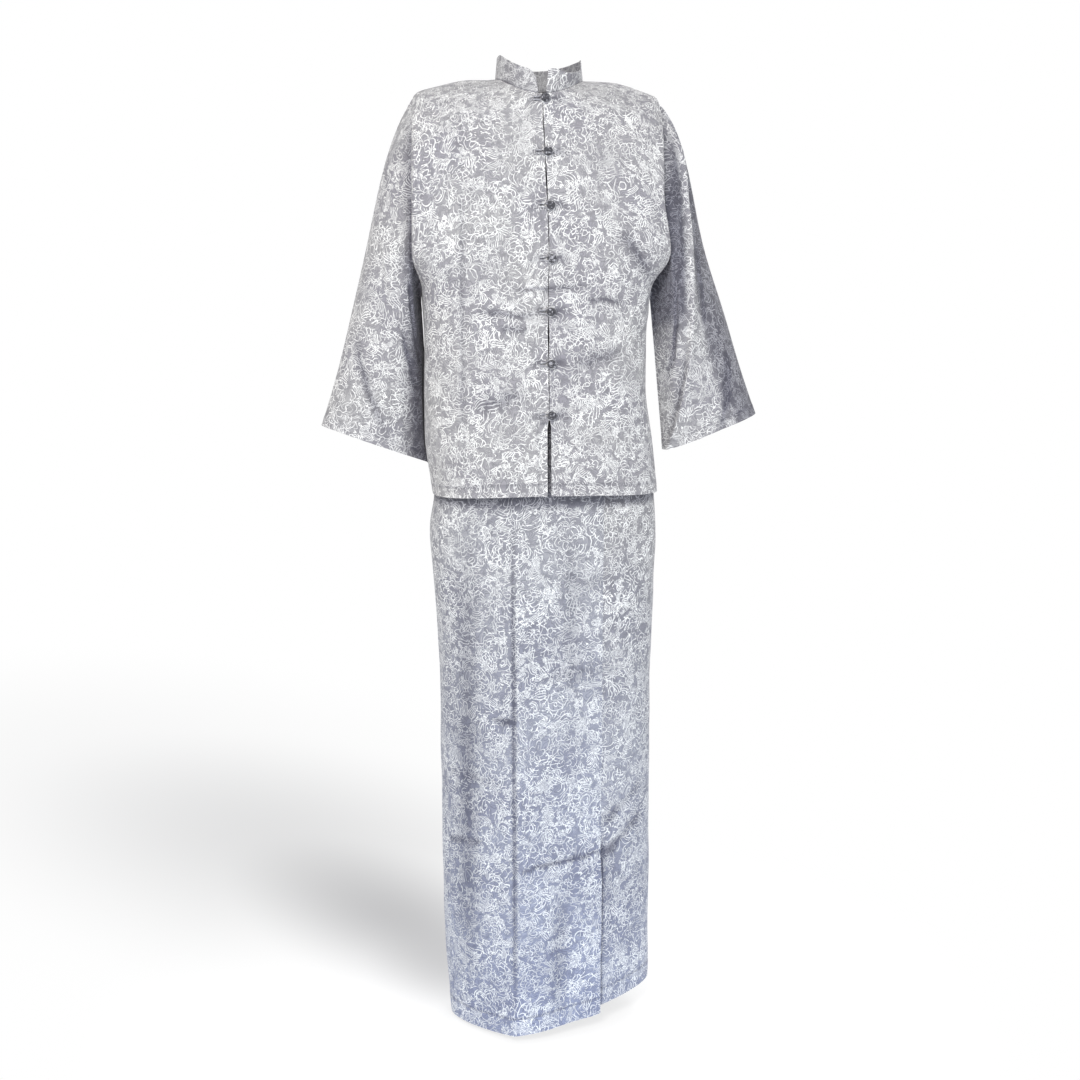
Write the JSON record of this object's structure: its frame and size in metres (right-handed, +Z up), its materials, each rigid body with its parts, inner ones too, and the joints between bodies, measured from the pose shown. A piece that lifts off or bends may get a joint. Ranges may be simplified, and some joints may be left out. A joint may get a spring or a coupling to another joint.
{
  "type": "baju kurung set of a buttoned top and a long skirt",
  "caption": "Short collared top with wide sleeves and knot buttons, worn over a long straight skirt with a pressed front fold, hollow and open at neck, cuffs and hems.",
  "frame": {"origin": "between the shoulders, where the wearer's shoulders carry the top", "axes": "+Z up along the wearer, the front faces -Y, +X is the wearer's left"},
  "size_m": [0.651, 0.2249, 1.4541],
  "materials": {
    "top_cloth": "matt printed cotton, white line motifs on lavender grey",
    "skirt_cloth": "matt printed cotton, the same cloth as the top",
    "cord": "matt rolled cotton cord"
  },
  "bodies": {
    "root": {"top_front_right": "top_cloth", "top_front_left": "top_cloth", "top_back": "top_cloth", "sleeve_right": "top_cloth", "sleeve_left": "top_cloth", "collar": "top_cloth", "knot_button_1": "cord", "knot_button_2": "cord", "knot_button_3": "cord", "knot_button_4": "cord", "knot_button_5": "cord", "knot_button_6": "cord", "knot_button_7": "cord", "button_loop_1": "cord", "button_loop_2": "cord", "button_loop_3": "cord", "button_loop_4": "cord", "button_loop_5": "cord", "button_loop_6": "cord", "button_loop_7": "cord", "skirt_front_overlap": "skirt_cloth", "skirt_front_underlap": "skirt_cloth", "skirt_back": "skirt_cloth", "skirt_waistband": "skirt_cloth"}
  },
  "joints": []
}
